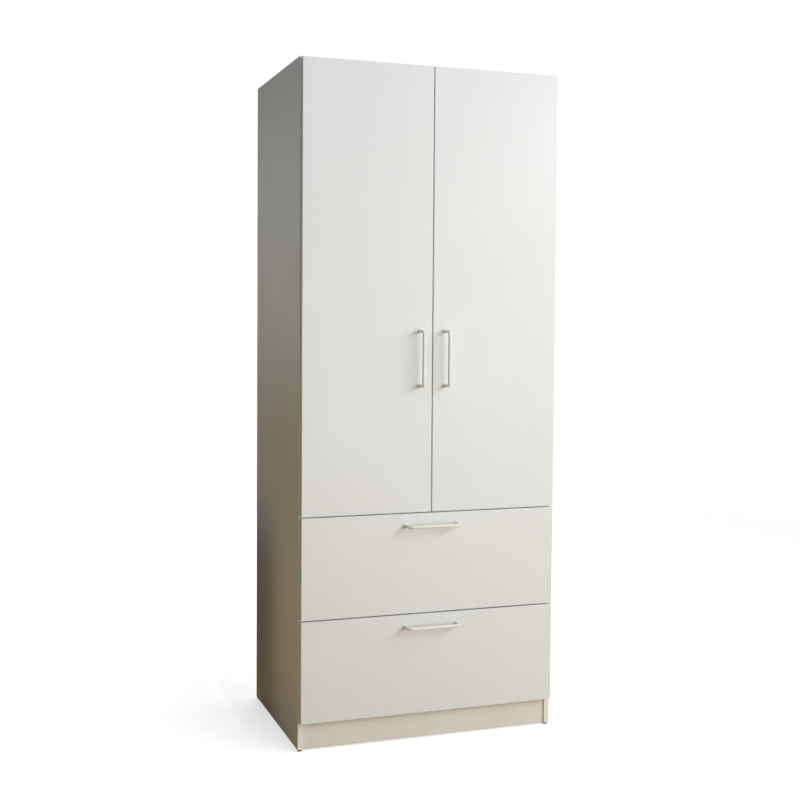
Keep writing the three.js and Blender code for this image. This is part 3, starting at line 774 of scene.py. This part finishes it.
def world():
    """Dim even light, and plain white where the camera looks past the floor."""
    made = bpy.data.worlds.new("studio")
    made.use_nodes = True
    tree = made.node_tree
    tree.nodes.clear()
    light = tree.nodes.new("ShaderNodeBackground")
    light.inputs["Color"].default_value = WORLD_TONE
    light.inputs["Strength"].default_value = WORLD_STRENGTH
    seen = tree.nodes.new("ShaderNodeBackground")
    seen.inputs["Color"].default_value = rgb(1.0, 1.0, 1.0)
    seen.inputs["Strength"].default_value = 1.0
    path = tree.nodes.new("ShaderNodeLightPath")
    mix = tree.nodes.new("ShaderNodeMixShader")
    out = tree.nodes.new("ShaderNodeOutputWorld")
    tree.links.new(path.outputs["Is Camera Ray"], mix.inputs["Fac"])
    tree.links.new(light.outputs[0], mix.inputs[1])
    tree.links.new(seen.outputs[0], mix.inputs[2])
    tree.links.new(mix.outputs[0], out.inputs["Surface"])
    bpy.context.scene.world = made


def sheet_of(name, corners, material):
    """A flat four-cornered thing of the studio."""
    mesh = bpy.data.meshes.new(name)
    mesh.from_pydata(corners, [], [(0, 1, 2, 3)])
    mesh.materials.append(material)
    made = bpy.data.objects.new(name, mesh)
    bpy.context.scene.collection.objects.link(made)
    return made


def floor_material():
    """Pale matt floor that glows a little for the camera and fades to white far away. The
    light that it throws back on the wardrobe is that of a brown wooden floor."""
    s = Shader("pale_floor", Roughness=0.9)
    output = s.tree.nodes["Material Output"]
    seen = s.node("ShaderNodeLightPath").outputs["Is Camera Ray"]
    tone = s.mix(seen, FLOOR_BOUNCE, FLOOR_SEEN)
    s.finish(Base_Color=tone)
    glow = s.node("ShaderNodeEmission", {"Color": rgb(1, 1, 1), "Strength": FLOOR_GLOW})
    white = s.node("ShaderNodeEmission", {"Color": rgb(1, 1, 1), "Strength": 1.0})
    lit = s.node("ShaderNodeAddShader", {0: s.surface.outputs[0], 1: glow.outputs[0]})
    away = s.node("ShaderNodeVectorMath", {0: s.coords.outputs["Object"]}, operation="LENGTH")
    far = s.math("MULTIPLY", s.span(away.outputs["Value"], *FLOOR_FADE), seen)
    near = s.node("ShaderNodeMixShader", {0: seen, 1: s.surface.outputs[0], 2: lit.outputs[0]})
    both = s.node("ShaderNodeMixShader", {0: far, 1: near.outputs[0], 2: white.outputs[0]})
    s.put(output, "Surface", both.outputs[0])
    return s.material


def dark_flags():
    """Dark panels that the camera doesn't see, like a dark corner of a room. One shades the
    lower rear of the left side. The other, further back, is mirrored in that side low down."""
    dark = Shader("flag_dark", Base_Color=rgb(0.012, 0.016, 0.012), Roughness=1.0).material
    low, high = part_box("side_panel_left")
    x, bottom, top = low.x - FLAG_GAP, FLAG_BOTTOM, FLAG_TOP
    for name, front, rear, mirrored in (
        ("flag_shading", SHADING_FLAG[0], high.y + SHADING_FLAG[1], False),
        ("flag_mirrored", *MIRRORED_FLAG, True),
    ):
        corners = [(x, front, bottom), (x, rear, bottom), (x, rear, top), (x, front, top)]
        flag = sheet_of(name, corners, dark)
        flag.visible_camera = False
        flag.visible_shadow = False
        flag.visible_glossy = mirrored
        flag.visible_diffuse = not mirrored


# ---------------------------------------------------------------- build
dress_boards()
dress_drawers()
dress_fittings()
for handled in ("door_left", "door_right", "drawer_upper", "drawer_lower"):
    bow_handle(handled)
    handle_screws(handled)
for drawer in DRAWERS:
    slide_screws(drawer)
    drawer_cams(drawer)
for hand in SIDES:
    door_bumpers(hand)
    for end in ("front", "rear"):
        glide(f"glide_{end}_{hand}")
hinge_screws()
rail()
cam_covers()
back_nails()
camera()
lights()
world()
reach = FLOOR_REACH
floor_corners = [(-reach, -reach, 0), (reach, -reach, 0), (reach, reach, 0), (-reach, reach, 0)]
sheet_of("floor", floor_corners, floor_material())
dark_flags()
bpy.context.scene.view_settings.view_transform = "Standard"
bpy.context.scene.view_settings.look = "None"
